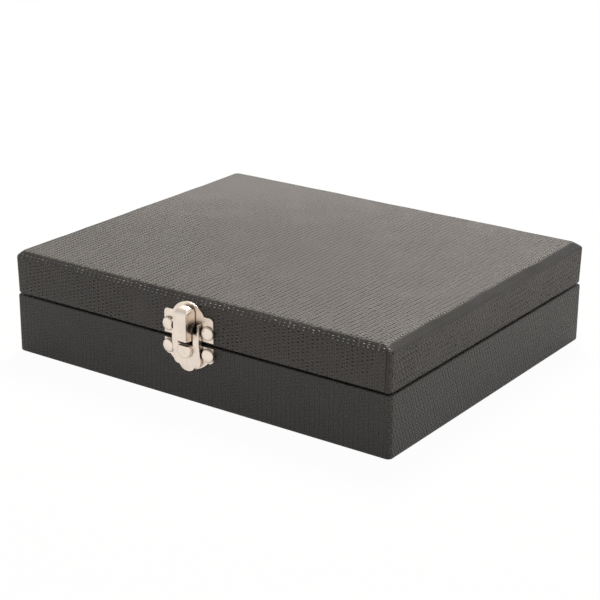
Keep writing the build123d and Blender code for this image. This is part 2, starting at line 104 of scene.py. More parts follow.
camera_data = bpy.data.cameras.new("camera")
camera_data.sensor_width = 36
camera_data.lens = camera_lens
camera_data.clip_start = 0.05
camera_data.clip_end = 20
camera = add_object("camera", camera_data)
camera.matrix_world = standing(camera_right, camera_up, backward,
                               camera_target + backward * camera_distance)
scene.camera = camera
scene.view_settings.view_transform = "Standard"
print("camera at", camera.matrix_world.translation)

# %% [markdown]
# ## A few helpers for node trees
#
# Materials and Geometry Nodes are both built from small nodes that add, multiply and mix. Placing
# each by hand is long, so a small class lets a socket be used in a formula as a number is.

# %% Node helpers
def feed(tree, socket, value):
    """Give an input a number, a colour, or a link. A node gives its first output."""
    if isinstance(value, Field):
        value = value.socket
    if isinstance(value, bpy.types.Node):
        value = value.outputs[0]
    if isinstance(value, bpy.types.NodeSocket):
        tree.links.new(value, socket)
    else:
        socket.default_value = value


def fill(tree, node, inputs):
    """Fill in several inputs of a node."""
    for name, value in inputs.items():
        feed(tree, node.inputs[name], value)


def add_node(tree, kind, inputs=None, **settings):
    """A new node with its settings and its inputs filled in."""
    node = tree.nodes.new(kind)
    for name, value in settings.items():
        setattr(node, name, value)
    fill(tree, node, inputs or {})
    return node


class Field:
    """A socket that can be reckoned with like a number."""

    def __init__(self, tree, socket):
        self.tree = tree
        self.socket = socket

    def math(self, operation, *others):
        node = add_node(self.tree, "ShaderNodeMath", dict(enumerate((self, *others))),
                        operation=operation)
        return Field(self.tree, node.outputs[0])

    def __add__(self, other):
        return self.math("ADD", other)

    def __sub__(self, other):
        return self.math("SUBTRACT", other)

    def __mul__(self, other):
        return self.math("MULTIPLY", other)

    def __truediv__(self, other):
        return self.math("DIVIDE", other)

    def __pow__(self, other):
        return self.math("POWER", other)

    def __abs__(self):
        return self.math("ABSOLUTE")

    def inverted(self):
        return (self * -1.0) + 1.0

    def clamped(self):
        return self.math("MINIMUM", 1.0).math("MAXIMUM", 0.0)

    def between(self, low, high):
        """0 below low, 1 above high, and smooth from one to the other."""
        node = add_node(self.tree, "ShaderNodeMapRange", {0: self, 1: low, 2: high},
                        interpolation_type="SMOOTHSTEP")
        return Field(self.tree, node.outputs[0])


# %% Helpers for finishes
def noise(tree, vector, scale, detail=2.0, roughness=0.5):
    """Soft random values about one half. Scale is in features per metre."""
    node = add_node(tree, "ShaderNodeTexNoise",
                    {"Vector": vector, "Scale": scale, "Detail": detail, "Roughness": roughness})
    return Field(tree, node.outputs["Fac"])


def split(tree, vector):
    """The three parts of a place or a colour."""
    node = add_node(tree, "ShaderNodeSeparateXYZ", {0: vector})
    return [Field(tree, socket) for socket in node.outputs]


def tint(tree, factor, first, second):
    """A colour between two colours."""
    node = add_node(tree, "ShaderNodeMix", {0: factor, 6: first, 7: second}, data_type="RGBA")
    return node.outputs[2]


def new_material(name):
    """A material with its tree and its Principled shader."""
    material = bpy.data.materials.new(name)
    material.use_nodes = True
    tree = material.node_tree
    return material, tree, tree.nodes["Principled BSDF"]


def bumped(tree, height, strength, distance, *below):
    """A normal that follows a height, on top of another normal if there is one."""
    node = add_node(tree, "ShaderNodeBump", {"Height": height, "Strength": strength,
                                             "Distance": distance})
    for normal in below:
        feed(tree, node.inputs["Normal"], normal)
    return node


def rgba(red, green, blue):
    return (red, green, blue, 1.0)


def dress(material, *names):
    """Put a finish on pieces of the construction model."""
    for name in names:
        nodes[name].material_slots[0].material = material
    print(material.name, "on", ", ".join(names))


def stand_in(piece, node, body):
    """The piece takes a node's place and rides on its body."""
    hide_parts(node)
    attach(piece, body)


# %% [markdown]
# ## Floor, world and lamps
#
# The studio is a white room with a dimmer ceiling. The camera sees floor and world as plain
# white. Reflections see white walls, a floor a little darker, and a ceiling at a third of the
# walls' light, which is why the lid's front bevel stays dark. All else gets only a little light
# from them, so the lamps stay at a plain level, and enough of the floor's own shading is left
# for the shadow.

# %% Floor
def ray_kinds(tree):
    """Whether a ray comes from the camera, and whether from a mirror."""
    rays = add_node(tree, "ShaderNodeLightPath")
    camera_ray, through_ray, mirror_ray = [
        Field(tree, rays.outputs[f"Is {kind} Ray"]) for kind in ("Camera", "Transmission", "Glossy")]
    return camera_ray + through_ray, mirror_ray


floor_half = 3.0
floor_glow_seen = 0.97
floor_glow_mirrored = 0.75
floor_mesh = bpy.data.meshes.new("floor")
floor_corners = [(-1, -1), (1, -1), (1, 1), (-1, 1)]
floor_mesh.from_pydata([(x * floor_half, y * floor_half, 0) for x, y in floor_corners], [],
                       [(0, 1, 2, 3)])
floor = add_object("floor", floor_mesh)

floor_material, tree, shader = new_material("studio_floor")
fill(tree, shader, {"Base Color": rgba(0.6, 0.6, 0.6), "Roughness": 0.9, "Specular IOR Level": 0.0})
seen, mirrored = ray_kinds(tree)
glow = add_node(tree, "ShaderNodeEmission", {"Color": rgba(1, 1, 1), "Strength": 1.0})
share = (seen * floor_glow_seen + mirrored * floor_glow_mirrored).clamped()
floor_mix = add_node(tree, "ShaderNodeMixShader", {0: share, 1: shader, 2: glow})
feed(tree, tree.nodes["Material Output"].inputs["Surface"], floor_mix)
floor_mesh.materials.append(floor_material)
print("floor", 2 * floor_half, "m wide")

# %% World
wall_light = 1.0
ceiling_light = 0.35
room_light = 0.25
wall_top, ceiling_start = 0.50, 0.80

world = bpy.data.worlds.new("studio")
scene.world = world
world.use_nodes = True
tree = world.node_tree
seen, mirrored = ray_kinds(tree)
direction = add_node(tree, "ShaderNodeTexCoord").outputs["Generated"]
upward = split(tree, direction)[2]
dimmed = upward.between(wall_top, ceiling_start) * (ceiling_light - wall_light) + wall_light
shown = (seen.clamped() * wall_light) + (mirrored * dimmed)
unseen = (seen + mirrored).clamped().inverted()
fill(tree, tree.nodes["Background"], {"Color": rgba(1, 1, 1), "Strength": shown + unseen * room_light})
print("walls", wall_light, "ceiling", ceiling_light, "room", room_light)

# %% Lamps
middle = (0, 0, 0.03)
warm_white = (1.0, 0.94, 0.87)


def add_lamp(name, position, size, watts):
    """A square soft box that points at the middle of the object."""
    data = bpy.data.lights.new(name, "AREA")
    data.size = size
    data.energy = watts
    data.color = warm_white
    away = unit(np.subtract(position, middle))
    right = unit(np.cross((0, 0, 1), away))
    add_object(name, data).matrix_world = standing(right, np.cross(away, right), away, position)


add_lamp("key_lamp", (-0.30, 0.60, 1.30), 0.5, 35)
add_lamp("side_lamp", (1.2, 0.45, 0.40), 0.8, 5)
print("lamps:", *bpy.data.lights.keys())

# %% [markdown]
# ## The outline that the covering follows
#
# Both trays are wrapped in one sheet each, and every height of the wrapping is the same rounded
# rectangle at another size. The wrapping could be a box with a bevel on it, but the bevel of a
# real lid is sanded by hand and wanders, and the grain has to run down the sides without a
# break. So the covering is built as a stack of outlines. Each outline is drawn side by side, and
# every point knows how far along its side it lies, which later lays out the grain.

# %% One outline
half_width, half_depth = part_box("base_cover")[1].xy
corner_radius = 2.0 * mm
corner_steps = 4
side_steps = (72, 60, 72, 60)
overlap_width = 2.25 * mm
side_directions = [np.array(d, float) for d in ((1, 0), (0, 1), (-1, 0), (0, -1))]
side_outwards = [np.array(d, float) for d in ((0, -1), (1, 0), (0, 1), (-1, 0))]

# the overlap in front of the right corner, as shares of the front side
flap_step = 0.0035
flap_edge = 1 - (overlap_width - corner_radius) / (half_width - corner_radius)
flap_foot = flap_edge - flap_step
flap_before = flap_foot - flap_step


def straight_shares(side):
    """Places along a side's straight stretch, from -1 to 1, closer at the overlap."""
    shares = list(np.linspace(-1, 1, side_steps[side] + 1))
    if side == 0:
        shares = [s for s in shares if s < flap_before - 0.001 or s == 1]
        shares = sorted(shares + [flap_before, flap_foot, flap_edge])
    return np.array(shares)


def side_points(side, insets):
    """One side of an outline: its points, and how far each lies from the side's middle.

    insets holds, for each of the four sides, its distance in from the full size along the
    places of straight_shares.
    """
    before, after = (side - 1) % 4, (side + 1) % 4
    half_along, half_across = half_width, half_depth
    if side % 2:
        half_along, half_across = half_depth, half_width
    start = -(half_along - corner_radius - insets[before][-1])
    end = half_along - corner_radius - insets[after][0]
    shares = straight_shares(side)
    along = start + (shares + 1) / 2 * (end - start)
    across = half_across - insets[side]
    angles = np.linspace(0, math.pi / 4, corner_steps + 1)[1:]
    first = start - corner_radius * np.sin(angles[::-1])
    last = end + corner_radius * np.sin(angles)
    drop = corner_radius * (1 - np.cos(angles))
    all_along = np.concatenate([first, along, last])
    all_across = np.concatenate([across[0] - drop[::-1], across, across[-1] - drop])
    turns = corner_radius * angles
    measured = np.concatenate([start - turns[::-1], along, end + turns])
    points = np.outer(all_along, side_directions[side]) + np.outer(all_across, side_outwards[side])
    return points, measured


def carried_round(side, values):
    """Values along a side, carried over its two corners and halfway into its neighbours'."""
    before, after = (side - 1) % 4, (side + 1) % 4
    blend = np.linspace(0, 0.5, corner_steps + 1)[1:]
    own = values[side]
    head = own[0] + (values[before][-1] - own[0]) * blend[::-1]
    tail = own[-1] + (values[after][0] - own[-1]) * blend
    return np.concatenate([head, own, tail])


def even(value):
    """The same value along all four sides."""
    return [np.full(len(straight_shares(side)), float(value)) for side in range(4)]


print("points along each side:", *[len(straight_shares(side)) for side in range(4)])

# %% [markdown]
# ## The hand-sanded bevel
#
# The bevel round the lid's top is wider on the right than in front, and its edges wander by up
# to half a millimetre, because the board was sanded by hand before it was covered. Three slow
# waves of different lengths added together wander like that and never repeat over one side.

# %% Bevel sizes along each side
bevel_runs = (2.3 * mm, 3.7 * mm, 2.6 * mm, 2.6 * mm)
bevel_drops = (2.5 * mm, 2.8 * mm, 2.4 * mm, 2.4 * mm)
run_wander = (0.35 * mm, 0.6 * mm, 0.35 * mm, 0.35 * mm)
drop_wander = (0.25 * mm, 0.45 * mm, 0.25 * mm, 0.25 * mm)


def wander(side, size, seed):
    """A slow, uneven wave along a side, at most about size high."""
    shares = straight_shares(side)
    rng = np.random.default_rng(seed * 10 + side)
    total = np.zeros(len(shares))
    for turns, share in ((2.1, 0.4), (4.3, 0.35), (7.9, 0.25)):
        total += share * np.sin(shares * math.pi * turns + rng.uniform(0, 2 * math.pi))
    return total * size


run_along = [bevel_runs[s] + wander(s, run_wander[s], 1) for s in range(4)]
drop_along = [bevel_drops[s] + wander(s, drop_wander[s], 2) for s in range(4)]
print("bevel in front from", *[round(pick(run_along[0]) / mm, 2) for pick in (min, max)], "mm")

# %% [markdown]
# ## Building a covering from its rows
#
# A covering is a closed skin: it goes up the outside, over the top or the rim, and back down
# the inside against the boards. Every row gives its insets and heights, and neighbouring rows
# are joined by a strip of faces. While the faces are made, each corner gets its place on the
# flat sheet of leatherette, in metres. On the top that is simply X and Y, and down the sides it
# is the distance along the side and the distance folded down, so the grain turns over the edges
# as one sheet does. On the left and right the sheet was pulled tighter, so its print is longer
# there. At the front right corner the right side's sheet is folded round and lies over the
# front one. Every vertex also notes whether the sheet is folded, pressed, creased, on a left or
# right side, or level there, which the material reads. The material paints glints on the front
# folds as painted highlights, darkens the pressed bevel as painted shade, and draws a painted
# shadow line at the crease along the overlap.

# %% One row
side_print = 0.78
plain_fold = 0.15
# the right bevel is flattened more and darkened more, as painted shade
right_bevel_press_and_shade = 1.5
flap_pressing = 0.7


def row(insets, heights, folded, fold=0.0, pressed=0.0, crease=0.0):
    """One outline of a covering. folded is how far down the sheet it lies from the top edge."""
    points = []
    for side in range(4):
        flat, measured = side_points(side, insets)
        points.append((flat, carried_round(side, heights), measured, carried_round(side, folded)))
    return {"sides": points, "fold": fold, "upright": float(np.max(folded[0]) > 0),
            "pressed": pressed, "crease": crease}


# %% Places on the flat sheet
def sheet_place(side, measured, down, edge, wrapped):
    """Where a point of a side lies on the flat sheet."""
    edge_x, edge_y = edge
    if side == 0 and wrapped:
        return (edge_x + down, (-half_depth - (half_width - measured)) * side_print)
    if side == 0:
        return (measured, -edge_y - down)
    if side == 1:
        return (edge_x + down, measured * side_print)
    if side == 2:
        return (-measured, edge_y + down)
    return (-edge_x - down, -measured * side_print)


# %% Covering from rows
flap_begins = half_width - overlap_width - 0.01 * mm


def covering(name, rows, flat_rows, edge, looped):
    """A closed mesh from rows. In flat_rows, which lie level, the sheet's place is X and Y."""
    bm = bmesh.new()
    sheet = bm.loops.layers.uv.new("sheet")
    fold, pressed, crease, turned, level = [
        bm.verts.layers.float.new(key) for key in ("fold", "pressed", "crease", "turned", "level")]
    foot = corner_steps + int(np.argmin(abs(straight_shares(0) - flap_foot)))
    rings = []
    for one in rows:
        ring = []
        for flat, high, _, _ in one["sides"]:
            ring.append([bm.verts.new((x, y, z)) for (x, y), z in zip(flat[:-1], high[:-1])])
        for side in range(4):
            for vert in ring[side]:
                # only the front keeps the high fold values, which carry the painted glints
                vert[fold] = one["fold"] if side == 0 else min(one["fold"], plain_fold)
                vert[pressed] = one["pressed"] * (right_bevel_press_and_shade if side == 1 else 1.0)
                vert[turned] = one["upright"] * (side % 2)
                vert[level] = 1.0 - one["upright"]
            for vert in ring[side][:corner_steps + 1] + ring[side][-corner_steps:]:
                vert[fold] = max(vert[fold], plain_fold * one["upright"])
            ring[side] = ring[side] + [ring[(side + 1) % 4][0]]
        # the crease column gets a painted shadow line along the overlap's edge
        ring[0][foot][crease] = one["crease"]
        for vert in ring[0][foot + 1:-1]:
            vert[pressed] = max(vert[pressed], flap_pressing * one["crease"])
        rings.append(ring)
    if looped:
        rows = rows + rows[:1]
        rings = rings + rings[:1]
    for index in range(len(rows) - 1):
        on_top = index in flat_rows and index + 1 in flat_rows
        for side in range(4):
            for k in range(len(rings[index][side]) - 1):
                corners = [(index, k), (index, k + 1), (index + 1, k + 1), (index + 1, k)]
                face = bm.faces.new([rings[i][side][j] for i, j in corners])
                face.smooth = True
                wrapped = side == 0 and rows[index]["sides"][0][2][k] > flap_begins
                for loop, (i, j) in zip(face.loops, corners):
                    flat, _, measured, down = rows[i]["sides"][side]
                    if on_top:
                        loop[sheet].uv = flat[j]
                    else:
                        loop[sheet].uv = sheet_place(side, measured[j], down[j], edge, wrapped)
    for ring in () if looped else (rings[0], rings[-1]):
        face = bm.faces.new([vert for side in ring for vert in side[:-1]])
        for loop in face.loops:
            loop[sheet].uv = loop.vert.co.xy
    bmesh.ops.recalc_face_normals(bm, faces=bm.faces[:])
    mesh = bpy.data.meshes.new(name)
    bm.to_mesh(mesh)
    bm.free()
    piece = add_object(name, mesh)
    print(name, len(mesh.polygons), "faces")
    return piece


def softened(start, corner, end):
    """Six points of a soft bend from start towards corner and on to end."""
    points = []
    for t in np.linspace(0, 1, 6):
        points.append([(1 - t) ** 2 * a + 2 * t * (1 - t) * b + t**2 * c
                       for a, b, c in zip(start, corner, end)])
    return points


# %% [markdown]
# ## The lid's covering
#
# Its sides lean out a little towards the top on the left and right. From below, the rows run:
# turned in under the rim, round the rim's edge, up the side, round the shoulder, over the bevel,
# round the top edge and in across the top. The top closes with a flat face in the middle, and
# the hidden inner side is a plainer one, set in by the sheet's thickness.

# %% Sizes of the lid's covering
lid_low, lid_high = (v.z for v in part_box("lid_cover"))
sheet_thick = 0.8 * mm
board_thick = 6.0 * mm
seam_gap = 0.25 * mm
lid_flare = 0.5 * mm
rim_round = 0.7 * mm
quarter_turn = np.linspace(0, math.pi / 2, 5)
lid_low += seam_gap
soft_shoulder = 0.8 * mm
soft_crown = 0.9 * mm
flap = 0.3 * mm
top_insets = np.array((7, 12, 20, 30, 42, 56, 70, 79)) * mm


def leaning(inset, share):
    """Insets of a level on the lid's sides: share is 1 at the rim and 0 at the shoulder."""
    lean = (0.0, lid_flare * share, 0.0, lid_flare * share)
    return [inset + lean[s] + np.zeros(len(straight_shares(s))) for s in range(4)]


def overlap_step(insets, step):
    """The flap of the right side's sheet stands out over the front."""
    front = np.array(insets[0])
    front[straight_shares(0) >= flap_edge - 1e-6] -= step
    return [front, *insets[1:]]


# %% Rows of the lid's covering
def bevel_chain(side, side_height, slope):
    """A side's shoulder, bevel and top edge, as insets and heights over the rim."""
    run, drop = run_along[side], drop_along[side]
    slope_run, slope_drop = run / slope, drop / slope
    upright, top = np.zeros_like(run), side_height + drop
    shoulder = softened((upright, side_height - soft_shoulder), (upright, side_height),
                        (slope_run * soft_shoulder, side_height + slope_drop * soft_shoulder))
    crown = softened((run - slope_run * soft_crown, top - slope_drop * soft_crown), (run, top),
                     (run + soft_crown, top))
    facet = [[a + (b - a) * t for a, b in zip(shoulder[-1], crown[0])] for t in (0.33, 0.66)]
    return shoulder + facet + crown


def lid_rows():
    rows = []
    side_height = [(lid_high - drop_along[s]) - lid_low for s in range(4)]
    slope = [np.hypot(run_along[s], drop_along[s]) for s in range(4)]
    inner = sheet_thick + board_thick
    rim_down = [slope[s] + side_height[s] for s in range(4)]
    # the hidden side, from the middle of the ceiling out and down to the rim
    under = lid_high - sheet_thick
    zero = even(0)
    for inset, height in ((top_insets[-1], under), (bevel_runs[1] + sheet_thick, under),
                          (sheet_thick, lid_high - bevel_drops[1] - sheet_thick),
                          (sheet_thick, lid_low + sheet_thick), (inner, lid_low + sheet_thick)):
        insets = leaning(inset, height < lid_low + board_thick)
        rows.append(row(insets, even(height), zero))
    # the turned-in strip under the rim
    for inset in (inner, inner * 0.5, rim_round * 2):
        down = [rim_down[s] + inset for s in range(4)]
        rows.append(row(leaning(inset, 1), even(lid_low), down, fold=0.2))
    for t in quarter_turn:
        inset = rim_round * (1 - math.sin(t))
        height = lid_low + rim_round * (1 - math.cos(t))
        down = [rim_down[s] + inset * 0.5 - (height - lid_low) for s in range(4)]
        insets = overlap_step(leaning(inset, 1), flap * (t > 0.3))
        rows.append(row(insets, even(height), down, fold=0.4, crease=1.0))
    for share in (0.85, 0.6, 0.4, 0.2):
        heights = [lid_low + rim_round + (1 - share) * (side_height[s] - rim_round - soft_shoulder)
                   for s in range(4)]
        down = [slope[s] + side_height[s] - (heights[s] - lid_low) for s in range(4)]
        rows.append(row(overlap_step(leaning(0, share), flap), heights, down, crease=1.0))
    # the shoulder, the bevel and the top edge
    chains = [bevel_chain(s, side_height[s], slope[s]) for s in range(4)]
    bevel_end = len(chains[0]) - 4
    for i, level in enumerate(zip(*chains)):
        insets = [level[s][0] for s in range(4)]
        heights = [lid_low + level[s][1] for s in range(4)]
        down = [(1 - insets[s] / run_along[s]) * slope[s] if i > 0 else slope[s] + soft_shoulder
                for s in range(4)]
        # painted glints go on the shoulder and the middle of the bevel in front
        fold = float(i in (2, 3, 6))
        step = flap * max(0.0, 1 - i / 3)
        # the bevel's rows are pressed flat and darkened as painted shade
        pressed = float(2 <= i <= bevel_end)
        rows.append(row(overlap_step(insets, step), heights, down, fold=fold, pressed=pressed,
                        crease=float(i < 4)))
    first_flat = len(rows) - 1
    rows += [row(even(inset), even(lid_high), zero) for inset in top_insets]
    return rows, range(first_flat, len(rows))


# %% Lid covering
rows_of_lid, level_rows = lid_rows()
lid_edge = (half_width - bevel_runs[1], half_depth - bevel_runs[0])

lid_skin = covering("lid_cover_skin", rows_of_lid, level_rows, lid_edge, looped=False)
stand_in(lid_skin, "lid_cover", "lid")

# %% [markdown]
# ## The base's covering
#
# The base is a plain tray: its sheet starts under the bottom edge, goes up the side, over the
# rim and stops at the room inside. Here the chain of rows closes on itself, like a belt.

# %% Base covering
base_low, base_high = (v.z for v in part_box("base_cover"))
base_high -= seam_gap
bottom_turn_in = 12 * mm
bottom_round = 0.9 * mm


def base_rows():
    rows = []
    inner = sheet_thick + board_thick
    floor_side = base_low + sheet_thick
    for inset, height in ((bottom_turn_in, floor_side), (sheet_thick, floor_side),
                          (sheet_thick, base_high - sheet_thick), (inner, base_high - sheet_thick)):
        rows.append(row(even(inset), even(height), even(0)))
    for inset in (inner, inner * 0.5, rim_round * 2):
        rows.append(row(even(inset), even(base_high), even(-inset), fold=0.2))
    for t in quarter_turn:
        inset = rim_round * (1 - math.sin(t))
        height = base_high - rim_round * (1 - math.cos(t))
        rows.append(row(even(inset), even(height),
                        even(base_high - height - inset * 0.5), fold=plain_fold))
    side_height = base_high - rim_round - base_low - bottom_round
    for share in (0.2, 0.4, 0.6, 0.8):
        height = base_high - rim_round - share * side_height
        rows.append(row(even(0), even(height), even(base_high - height)))
    for t in quarter_turn:
        inset = bottom_round * (1 - math.cos(t))
        height = base_low + bottom_round * (1 - math.sin(t))
        rows.append(row(even(inset), even(height),
                        even(base_high - height + inset), fold=plain_fold))
    under = base_high - base_low + bottom_turn_in
    rows.append(row(even(bottom_turn_in), even(base_low), even(under)))
    return rows


base_skin = covering("base_cover_skin", base_rows(), range(0), (half_width, half_depth), looped=True)
stand_in(base_skin, "base_cover", "base")

# %% [markdown]
# ## Embossed leatherette
#
# The sheet is grey vinyl pressed between rollers. Its print is a net of small scales in columns,
# every other column moved by half a scale. Thin grooves part the columns, weaker ones cross
# them, and each scale has a dark pit of its own depth. An image could show it, but a formula on
# the flat sheet's own coordinates needs no picture and turns over every fold. The print is
# shallower towards the top's back left corner and nearly flat on the bevel, where the colour is
# darkened as painted shade. On the front bevel's folds the crests of the scales are painted
# pale as painted highlights, and along the overlap's edge a black line is painted as painted
# shadow.

# %% Scale print
scale_width = 2.4 * mm
scale_length = 1.6 * mm
column_drift = 1.6 * mm
row_drift = 1.4 * mm


def vertex_value(tree, name):
    """A value that the covering's vertices hold."""
    return Field(tree, add_node(tree, "ShaderNodeAttribute", attribute_name=name).outputs["Fac"])


def scales(tree, sheet):
    """Where a spot lies in its scale, the scale's own luck, and how near the back left it is."""
    drift = add_node(tree, "ShaderNodeTexNoise", {"Vector": sheet, "Scale": 170.0, "Detail": 2.0})
    push_across, push_along, _ = split(tree, drift.outputs["Color"])
    sheet_x, sheet_y, _ = split(tree, sheet)
    columns = (sheet_x + (push_across - 0.5) * column_drift) / scale_width
    column = columns.math("FLOOR")
    rows = (sheet_y + (push_along - 0.5) * row_drift) / scale_length + column * 0.5
    row_number = rows.math("FLOOR")
    cell = add_node(tree, "ShaderNodeCombineXYZ", {0: column, 1: row_number})
    chance = add_node(tree, "ShaderNodeTexWhiteNoise", {"Vector": cell}, noise_dimensions="2D")
    across = (columns - column) * 2.0 - 1.0
    along = (rows - row_number) * 2.0 - 1.0
    back_left = (sheet_y - sheet_x * 0.6).between(0.0, 0.13)
    return across, along, Field(tree, chance.outputs["Value"]), back_left


print("scales of", scale_width / mm, "by", scale_length / mm, "mm")

# %% Leatherette material
grain_depth = 0.45 * mm
sheet_waves = 0.12 * mm
vinyl_pit_and_shade = (0.010, 0.009, 0.008)
vinyl_dark = (0.048, 0.043, 0.039)
vinyl_light = (0.078, 0.071, 0.065)
vinyl_glint = (0.38, 0.37, 0.36)
overlap_shadow_black = (0.002, 0.002, 0.002)


def leatherette(name, depth_of_colour, depth_of_print):
    material, tree, shader = new_material(name)
    sheet = add_node(tree, "ShaderNodeUVMap", uv_map="sheet")
    fold, pressed, crease, turned, level = [
        vertex_value(tree, key) for key in ("fold", "pressed", "crease", "turned", "level")]
    across, along, luck, back_left = scales(tree, sheet)
    fine = noise(tree, sheet, 3200.0, 3.0, 0.6)
    broad = noise(tree, sheet, 28.0, 3.0, 0.55)
    patch = noise(tree, sheet, 45.0, 2.0, 0.5).between(0.25, 0.60) * 0.55 + 0.45
    # the relief: pits, grooves and crossings
    shallow = (back_left * level * (-0.7)) + 1.0
    round_pit = (across / 0.68) ** 2.0 + (along / 0.56) ** 2.0
    pit = round_pit.inverted().between(0.0, 0.9) * (luck * 0.6 + 0.4) * patch
    pit = pit * (level * 1.2 + 1.0) * depth_of_print * shallow
    groove = abs(across) ** 8.0
    crossing = (abs(along) ** 3.0) * (turned * 1.6 + 0.35) * (depth_of_print * 0.5 + 0.5)
    relief = pressed * (-0.6) + 1.0
    height = (fine * 0.15 - pit * 1.2 - groove * 0.5 - crossing) * relief * shallow
    grain = bumped(tree, height, 1.0, grain_depth)
    # the colour: darker in the print's hollows and, as painted shade, on the bevel; painted highlights
    # on the crests; a painted shadow line black along the overlap
    dark, light = [rgba(*[c * depth_of_colour for c in tone])
                   for tone in (vinyl_dark, vinyl_light)]
    body = tint(tree, luck * 0.4 + broad * 0.6, dark, light)
    # the pressed bevel is darkened as painted shade
    hollow_and_shade = (pit * 1.05 + groove * 0.20 + crossing * 0.28) * relief + pressed * 0.55
    pitted_and_shaded = tint(tree, hollow_and_shade.clamped(), body, rgba(*vinyl_pit_and_shade))
    # painted highlights: the crests of the scales on the front bevel's folds are painted pale
    crests = abs(across).inverted().between(0.55, 0.85) * (luck * 0.8 + 0.3)
    glint = fold.between(0.5, 1.0) * crests * (patch * 0.7 + 0.3)
    glinted = tint(tree, glint.clamped(), pitted_and_shaded, rgba(*vinyl_glint))
    # a painted shadow line, black along the overlap's edge
    lined = tint(tree, crease.between(0.15, 0.8), glinted, rgba(*overlap_shadow_black))
    # the gloss: duller in the hollows and along the overlap
    rough = fine * 0.12 + (pit + groove * 0.5) * relief * 0.45 + broad * 0.14 + 0.30 - fold * 0.06
    fill(tree, shader, {"Base Color": lined, "Roughness": (rough + crease * 0.5).clamped(),
                        "IOR": 1.42, "Normal": bumped(tree, broad, 1.0, sheet_waves, grain)})
    print(name, "with", len(tree.nodes), "nodes")
    return material


# the lid's copy is painted paler and the base's darker: painted light on the lid and painted shade on
# the base
lid_skin.data.materials.append(leatherette("leatherette_lid", 1.15, 1.0))
base_skin.data.materials.append(leatherette("leatherette_base", 0.80, 0.45))

# %% [markdown]
# ## Nickel
#
# The latch and the hinges are stamped from steel and plated with warm nickel. Plating is a
# mirror at heart, broken by very fine rubbing marks and a few hazy patches. The mirror comes
# from the shader, and the rubbing and the haze from noise on the object's own place. Where a
# spot is closed in, in the corners and round the nails, the colour is darkened as painted shade.
# On the lower plate, round the lever's pin and in the window under the lever, it is painted
# black as the shade of the knuckle's hollow.

# %% Metal materials
corner_shade_brown = (0.035, 0.022, 0.014)
rubbing_scale = (9000.0, 9000.0, 700.0)
warm_nickel = (0.90, 0.79, 0.69)
shade_reach = 1.6 * mm


def plated(name, colour, roughness, extra_shade=None):
    material, tree, shader = new_material(name)
    place = add_node(tree, "ShaderNodeTexCoord").outputs["Object"]
    stretched = add_node(tree, "ShaderNodeMapping", {"Vector": place, "Scale": rubbing_scale})
    rubbing = noise(tree, stretched, 1.0, 3.0, 0.6)
    haze = noise(tree, place, 260.0, 3.0, 0.6)
    spots = noise(tree, place, 1500.0, 2.0, 0.5)
    open_air = add_node(tree, "ShaderNodeAmbientOcclusion", {"Distance": shade_reach}, samples=8)
    # painted shade: the colour turns dark brown where the spot is closed in
    unshaded = (Field(tree, open_air.outputs["AO"]) + (spots - 0.5) * 0.25).between(0.25, 0.80)
    if extra_shade:
        unshaded = unshaded * extra_shade(tree, place, spots)
    tone = tint(tree, haze.between(0.35, 0.75), rgba(*colour), rgba(*[c * 0.90 for c in colour]))
    rough = rubbing * 0.06 + haze * 0.10 + unshaded.inverted() * 0.3 + roughness
    fill(tree, shader, {"Base Color": tint(tree, unshaded, rgba(*corner_shade_brown), tone), "Metallic": 1.0,
                        "Roughness": rough,
                        "Normal": bumped(tree, spots + rubbing * 0.5, 0.25, 0.01 * mm)})
    return material


def shade_round_the_pin(tree, place, spots):
    """Painted shade: 0 near the latch's pin and in the window under the lever, 1 away from them."""
    x, y, z = split(tree, place)
    radius = ((y - pin_y) ** 2.0 + (z - pin_z) ** 2.0) ** 0.5 + (spots - 0.5) * (1.2 * mm)
    pin_clear = radius.between(1.7 * mm, 3.4 * mm)
    beside = abs(x).between(5.9 * mm, 6.6 * mm)
    under = abs(z - window_z).between(0.9 * mm, 1.7 * mm)
    within = abs(x).between(3.7 * mm, 4.3 * mm)
    return pin_clear.math("MAXIMUM", beside) * under.math("MAXIMUM", within)


_, pin_y, pin_z = np.mean(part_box("latch_pin"), axis=0)
window_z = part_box("latch_lever")[0].z - 1.1 * mm
latch_nickel = plated("latch_nickel", warm_nickel, 0.30)
# the lower plate carries painted shade round the pin and in the window under the lever
pin_shaded_nickel = plated("pin_shaded_nickel", warm_nickel, 0.30, extra_shade=shade_round_the_pin)
hinge_nickel = plated("hinge_nickel", (0.78, 0.72, 0.66), 0.16)
spring_steel = plated("spring_steel", (0.30, 0.27, 0.25), 0.25)
# the pin is dark blackened steel, and its darkness also stands in for the shade inside the knuckle's
# end, as painted shade
pin_steel = plated("pin_steel", (0.16, 0.12, 0.10), 0.30)
dress(latch_nickel, "latch_upper_plate", "latch_lever")
dress(pin_shaded_nickel, "latch_lower_plate")
dress(pin_steel, "latch_pin")
dress(spring_steel, "latch_spring")
hinge_metal = [n for n in nodes if n.startswith("hinge_") and "nails" not in n]
dress(hinge_nickel, *hinge_metal)

# %% [markdown]
# ## Softened stampings
#
# A press leaves no knife edges: every outline of the plates is rolled over by a tenth or two of
# a millimetre, and those narrow rounds are what catches the light. The construction mesh is kept
# as it is, so the rounding is a Bevel modifier after a Weld that joins its loose triangles.

# %% Rounded edges on the metal
def round_edges(name, width, segments):
    piece = nodes[name]
    weld = piece.modifiers.new("weld", "WELD")
    weld.merge_threshold = 0.002 * mm
    bevel = piece.modifiers.new("bevel", "BEVEL")
    bevel.width = width
    bevel.segments = segments
    bevel.limit_method = "ANGLE"
    bevel.angle_limit = math.radians(32)
    weighted = piece.modifiers.new("flat faces", "WEIGHTED_NORMAL")
    weighted.mode = "FACE_AREA"
    weighted.weight = 50
    piece.data.shade_smooth()
    print(name, "rounded by", width, "m")


